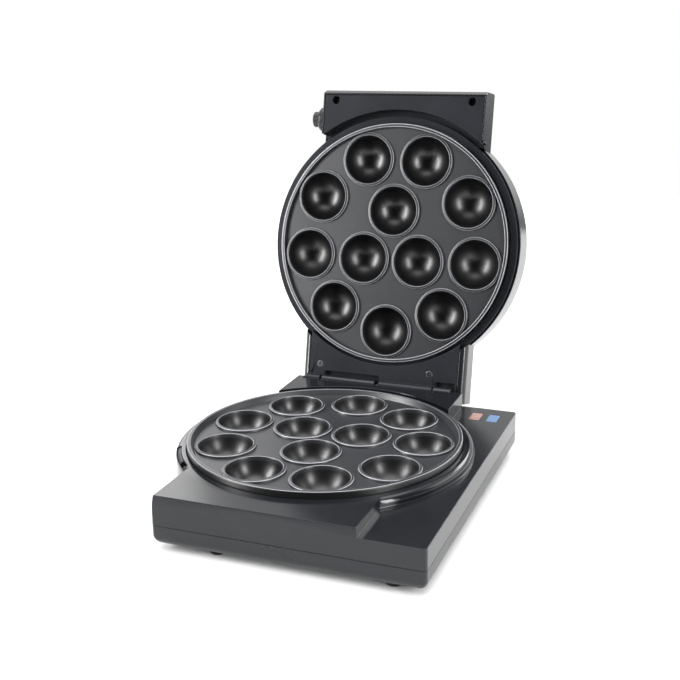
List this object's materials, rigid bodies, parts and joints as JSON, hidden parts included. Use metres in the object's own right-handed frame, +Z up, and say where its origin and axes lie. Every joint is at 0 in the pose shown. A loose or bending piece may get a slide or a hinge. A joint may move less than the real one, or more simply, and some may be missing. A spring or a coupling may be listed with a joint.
{
  "type": "cake pop maker",
  "caption": "Black countertop cake pop maker with ball-mould baking plates, hinged lid, lid and base plate releases and two indicator lamps.",
  "frame": {"origin": "on the surface it stands on, under the middle of the whole open object's box", "axes": "+X to the user's right, +Y to the rear, where the lid's hinge is, +Z up"},
  "size_m": [0.2336, 0.3514, 0.288],
  "materials": {
    "black_body": "fine-textured satin black plastic",
    "black_tray": "fine-textured satin black plastic",
    "black_cover": "smooth satin-gloss black plastic",
    "black_frame": "fine-textured satin black plastic",
    "black_controls": "satin black plastic",
    "baking_coating": "dark grey non-stick coating on cast aluminium",
    "pan_steel": "aluminised sheet steel",
    "element_sheath": "dull heat-darkened steel sheath",
    "screw_steel": "zinc-plated steel",
    "screw_black": "black oxide steel",
    "spring_steel": "drawn spring wire",
    "foot_rubber": "matt black rubber",
    "bush_rubber": "matt black rubber",
    "red_lens": "clear red lamp window",
    "blue_lens": "clear blue lamp window",
    "circuit_board": "green circuit board",
    "lamp_glass": "small glass lamp",
    "thermostat_body": "brown moulded thermostat body",
    "terminal_plastic": "natural nylon"
  },
  "bodies": {
    "base": {"base_housing": "black_body", "bottom_tray": "black_tray", "rubber_feet": "foot_rubber", "tray_screws": "screw_steel", "lower_baking_plate": "baking_coating", "lower_reflector_pan": "pan_steel", "lower_heating_element": "element_sheath", "lower_element_clips": "pan_steel", "lever_spring": "spring_steel", "red_lamp_lens": "red_lens", "blue_lamp_lens": "blue_lens", "indicator_board": "circuit_board", "indicator_lamps": "lamp_glass", "thermostat": "thermostat_body", "thermal_fuse": "thermostat_body", "terminal_block": "terminal_plastic", "cable_bush": "bush_rubber", "hinge_pin": "screw_steel"},
    "lid": {"lid_cover": "black_cover", "lid_inner_frame": "black_frame", "upper_baking_plate": "baking_coating", "upper_reflector_pan": "pan_steel", "upper_heating_element": "element_sheath", "upper_element_clips": "pan_steel", "lid_thermal_cutout": "thermostat_body", "button_bezel": "black_controls", "button_spring": "spring_steel", "handle_screws": "screw_black", "hinge_block_screws": "screw_black"},
    "base_release": {"plate_release_lever": "black_controls"},
    "lid_release": {"lid_release_button": "black_controls"}
  },
  "joints": [
    {"name": "lid_hinge", "type": "hinge", "parent": "base", "child": "lid", "pos_m": [-0.0038, 0.07832, 0.0442], "axis": [1, 0, 0], "range_deg": [0, 102.86]},
    {"name": "base_plate_release", "type": "hinge", "parent": "base", "child": "base_release", "pos_m": [-0.0038, -0.04468, 0.0356], "axis": [0, 0, 1], "range_deg": [0, 4.5], "stiffness_Nm_per_rad": 2, "springref_deg": -1.72, "deforming": ["lever_spring"]},
    {"name": "lid_plate_release", "type": "slide", "parent": "lid", "child": "lid_release", "axis": [1, 0, 0], "range_m": [0, 0.005], "stiffness_N_per_m": 400, "springref_m": -0.003, "deforming": ["button_spring"]}
  ]
}
